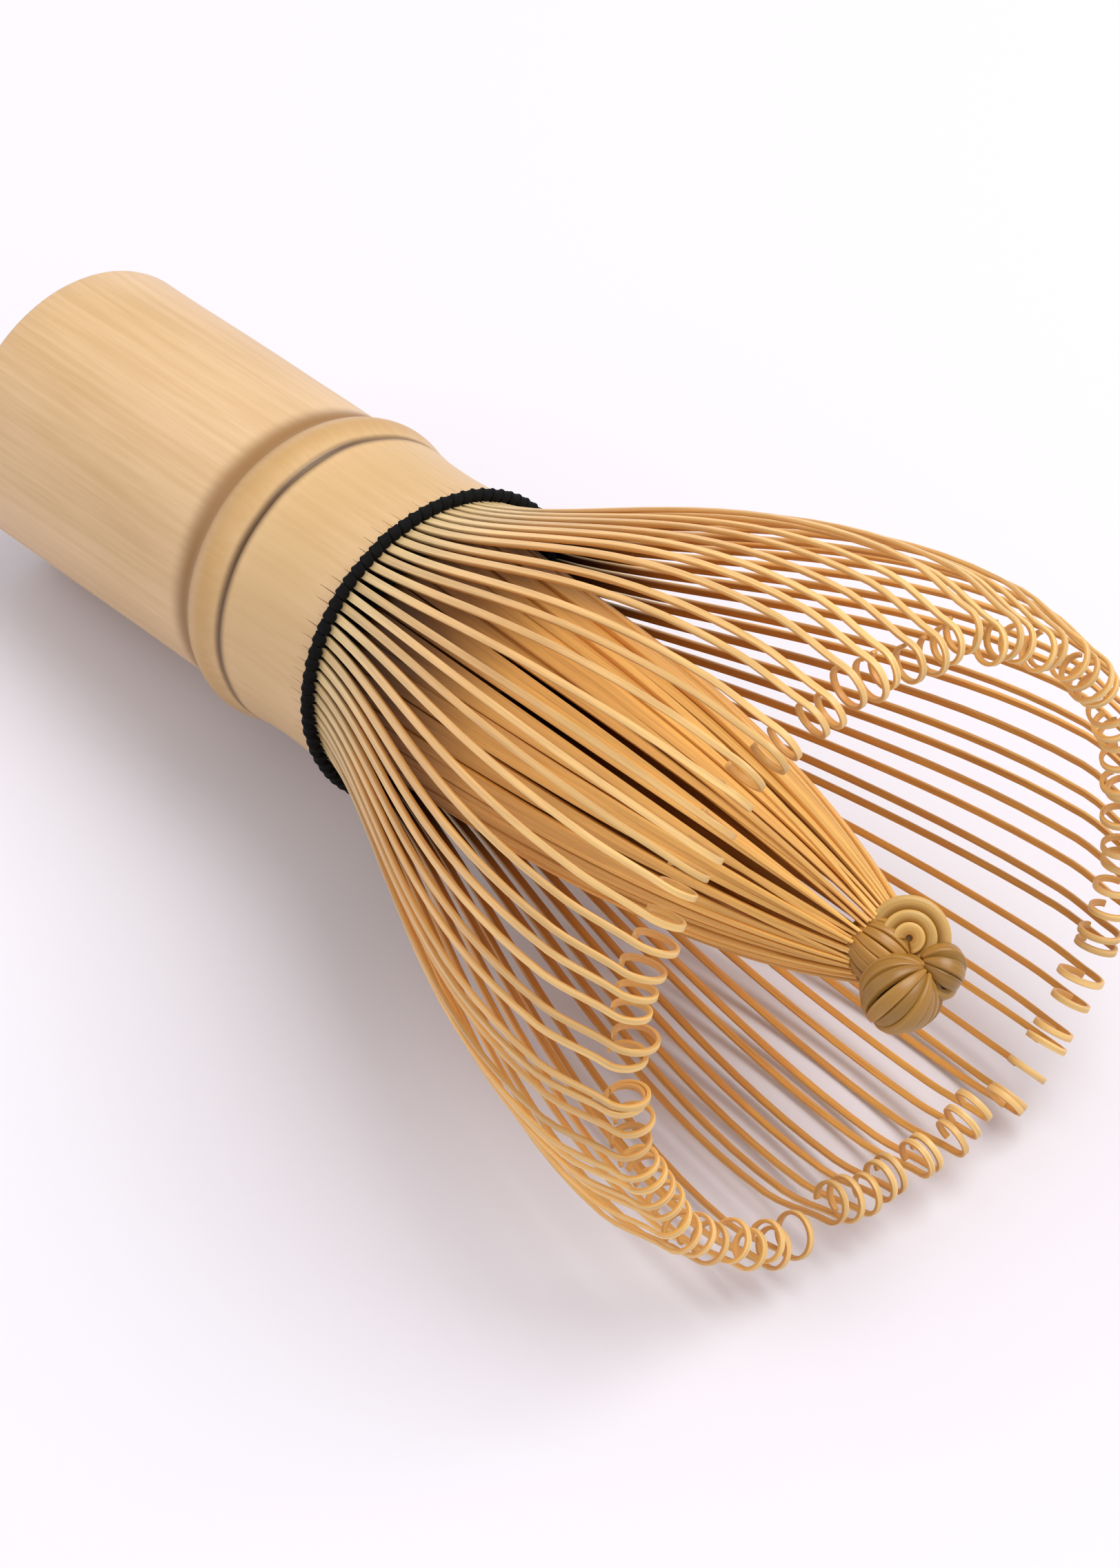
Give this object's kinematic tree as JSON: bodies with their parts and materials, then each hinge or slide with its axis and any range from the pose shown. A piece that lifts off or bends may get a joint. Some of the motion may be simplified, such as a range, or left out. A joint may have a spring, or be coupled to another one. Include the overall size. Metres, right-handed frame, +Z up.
{
  "type": "bamboo tea whisk",
  "caption": "Bamboo tea whisk with a hollow handle, an outer bell of curled tines, a closed inner bundle with a twisted end and a black thread.",
  "frame": {"origin": "centre of the bounding box on the floor that the whisk lies on", "axes": "+X from the handle end towards the tines, +Z up, whisk axis in the XZ plane"},
  "size_m": [0.1083, 0.0584, 0.0558],
  "materials": {
    "bamboo_culm": "satin, pale dried bamboo skin",
    "bamboo_outer_tines": "shaved bamboo, satin",
    "bamboo_inner_tines": "shaved bamboo, satin, golden",
    "black_thread": "matt twisted cotton"
  },
  "bodies": {
    "handle": {"culm": "bamboo_culm", "thread_outer_row": "black_thread", "thread_inner_row": "black_thread", "thread_crossings": "black_thread", "thread_tie": "black_thread"},
    "outer_tongue_01": {"outer_tines_01": "bamboo_outer_tines"},
    "outer_tongue_02": {"outer_tines_02": "bamboo_outer_tines"},
    "outer_tongue_03": {"outer_tines_03": "bamboo_outer_tines"},
    "outer_tongue_04": {"outer_tines_04": "bamboo_outer_tines"},
    "outer_tongue_05": {"outer_tines_05": "bamboo_outer_tines"},
    "outer_tongue_06": {"outer_tines_06": "bamboo_outer_tines"},
    "outer_tongue_07": {"outer_tines_07": "bamboo_outer_tines"},
    "outer_tongue_08": {"outer_tines_08": "bamboo_outer_tines"},
    "outer_tongue_09": {"outer_tines_09": "bamboo_outer_tines"},
    "outer_tongue_10": {"outer_tines_10": "bamboo_outer_tines"},
    "outer_tongue_11": {"outer_tines_11": "bamboo_outer_tines"},
    "outer_tongue_12": {"outer_tines_12": "bamboo_outer_tines"},
    "outer_tongue_13": {"outer_tines_13": "bamboo_outer_tines"},
    "outer_tongue_14": {"outer_tines_14": "bamboo_outer_tines"},
    "outer_tongue_15": {"outer_tines_15": "bamboo_outer_tines"},
    "outer_tongue_16": {"outer_tines_16": "bamboo_outer_tines"},
    "inner_bundle": {"inner_tines_01": "bamboo_inner_tines", "inner_tines_02": "bamboo_inner_tines", "inner_tines_03": "bamboo_inner_tines", "inner_tines_04": "bamboo_inner_tines", "inner_tines_05": "bamboo_inner_tines", "inner_tines_06": "bamboo_inner_tines", "inner_tines_07": "bamboo_inner_tines", "inner_tines_08": "bamboo_inner_tines", "inner_tines_09": "bamboo_inner_tines", "inner_tines_10": "bamboo_inner_tines", "inner_tines_11": "bamboo_inner_tines", "inner_tines_12": "bamboo_inner_tines", "inner_tines_13": "bamboo_inner_tines", "inner_tines_14": "bamboo_inner_tines", "inner_tines_15": "bamboo_inner_tines", "inner_tines_16": "bamboo_inner_tines", "inner_knot": "bamboo_inner_tines"}
  },
  "joints": [
    {"name": "outer_flex_01", "type": "hinge", "parent": "handle", "child": "outer_tongue_01", "pos_m": [-0.0026, 0.00253, 0.00713], "axis": [-0.0287, 0.9808, 0.193], "range_deg": [-0.25, 6], "stiffness_Nm_per_rad": 0.15},
    {"name": "outer_flex_02", "type": "hinge", "parent": "handle", "child": "outer_tongue_02", "pos_m": [-0.00288, 0.00719, 0.00904], "axis": [-0.0818, 0.8315, 0.5495], "range_deg": [-3, 6], "stiffness_Nm_per_rad": 0.15},
    {"name": "outer_flex_03", "type": "hinge", "parent": "handle", "child": "outer_tongue_03", "pos_m": [-0.00341, 0.01077, 0.01257], "axis": [-0.1224, 0.5556, 0.8224], "range_deg": [-3, 6], "stiffness_Nm_per_rad": 0.15},
    {"name": "outer_flex_04", "type": "hinge", "parent": "handle", "child": "outer_tongue_04", "pos_m": [-0.00409, 0.0127, 0.01719], "axis": [-0.1444, 0.1951, 0.9701], "range_deg": [-3, 6], "stiffness_Nm_per_rad": 0.15},
    {"name": "outer_flex_05", "type": "hinge", "parent": "handle", "child": "outer_tongue_05", "pos_m": [-0.00484, 0.0127, 0.02219], "axis": [-0.1444, -0.1951, 0.9701], "range_deg": [-3, 6], "stiffness_Nm_per_rad": 0.15},
    {"name": "outer_flex_06", "type": "hinge", "parent": "handle", "child": "outer_tongue_06", "pos_m": [-0.00553, 0.01077, 0.02681], "axis": [-0.1224, -0.5556, 0.8224], "range_deg": [-3, 6], "stiffness_Nm_per_rad": 0.15},
    {"name": "outer_flex_07", "type": "hinge", "parent": "handle", "child": "outer_tongue_07", "pos_m": [-0.00605, 0.00719, 0.03034], "axis": [-0.0818, -0.8315, 0.5495], "range_deg": [-3, 6], "stiffness_Nm_per_rad": 0.15},
    {"name": "outer_flex_08", "type": "hinge", "parent": "handle", "child": "outer_tongue_08", "pos_m": [-0.00634, 0.00253, 0.03225], "axis": [-0.0287, -0.9808, 0.193], "range_deg": [-3, 6], "stiffness_Nm_per_rad": 0.15},
    {"name": "outer_flex_09", "type": "hinge", "parent": "handle", "child": "outer_tongue_09", "pos_m": [-0.00634, -0.00253, 0.03225], "axis": [0.0287, -0.9808, -0.193], "range_deg": [-3, 6], "stiffness_Nm_per_rad": 0.15},
    {"name": "outer_flex_10", "type": "hinge", "parent": "handle", "child": "outer_tongue_10", "pos_m": [-0.00605, -0.00719, 0.03034], "axis": [0.0818, -0.8315, -0.5495], "range_deg": [-3, 6], "stiffness_Nm_per_rad": 0.15},
    {"name": "outer_flex_11", "type": "hinge", "parent": "handle", "child": "outer_tongue_11", "pos_m": [-0.00553, -0.01077, 0.02681], "axis": [0.1224, -0.5556, -0.8224], "range_deg": [-3, 6], "stiffness_Nm_per_rad": 0.15},
    {"name": "outer_flex_12", "type": "hinge", "parent": "handle", "child": "outer_tongue_12", "pos_m": [-0.00484, -0.0127, 0.02219], "axis": [0.1444, -0.1951, -0.9701], "range_deg": [-3, 6], "stiffness_Nm_per_rad": 0.15},
    {"name": "outer_flex_13", "type": "hinge", "parent": "handle", "child": "outer_tongue_13", "pos_m": [-0.00409, -0.0127, 0.01719], "axis": [0.1444, 0.1951, -0.9701], "range_deg": [-3, 6], "stiffness_Nm_per_rad": 0.15},
    {"name": "outer_flex_14", "type": "hinge", "parent": "handle", "child": "outer_tongue_14", "pos_m": [-0.00341, -0.01077, 0.01257], "axis": [0.1224, 0.5556, -0.8224], "range_deg": [-3, 6], "stiffness_Nm_per_rad": 0.15},
    {"name": "outer_flex_15", "type": "hinge", "parent": "handle", "child": "outer_tongue_15", "pos_m": [-0.00288, -0.00719, 0.00904], "axis": [0.0818, 0.8315, -0.5495], "range_deg": [-3, 6], "stiffness_Nm_per_rad": 0.15},
    {"name": "outer_flex_16", "type": "hinge", "parent": "handle", "child": "outer_tongue_16", "pos_m": [-0.0026, -0.00253, 0.00713], "axis": [0.0287, 0.9808, -0.193], "range_deg": [-0.25, 6], "stiffness_Nm_per_rad": 0.15},
    {"name": "bundle_lean", "type": "hinge", "parent": "handle", "child": "inner_bundle", "pos_m": [-0.00447, 0, 0.01969], "axis": [0, 1, 0], "range_deg": [-3, 3], "stiffness_Nm_per_rad": 0.3}
  ]
}
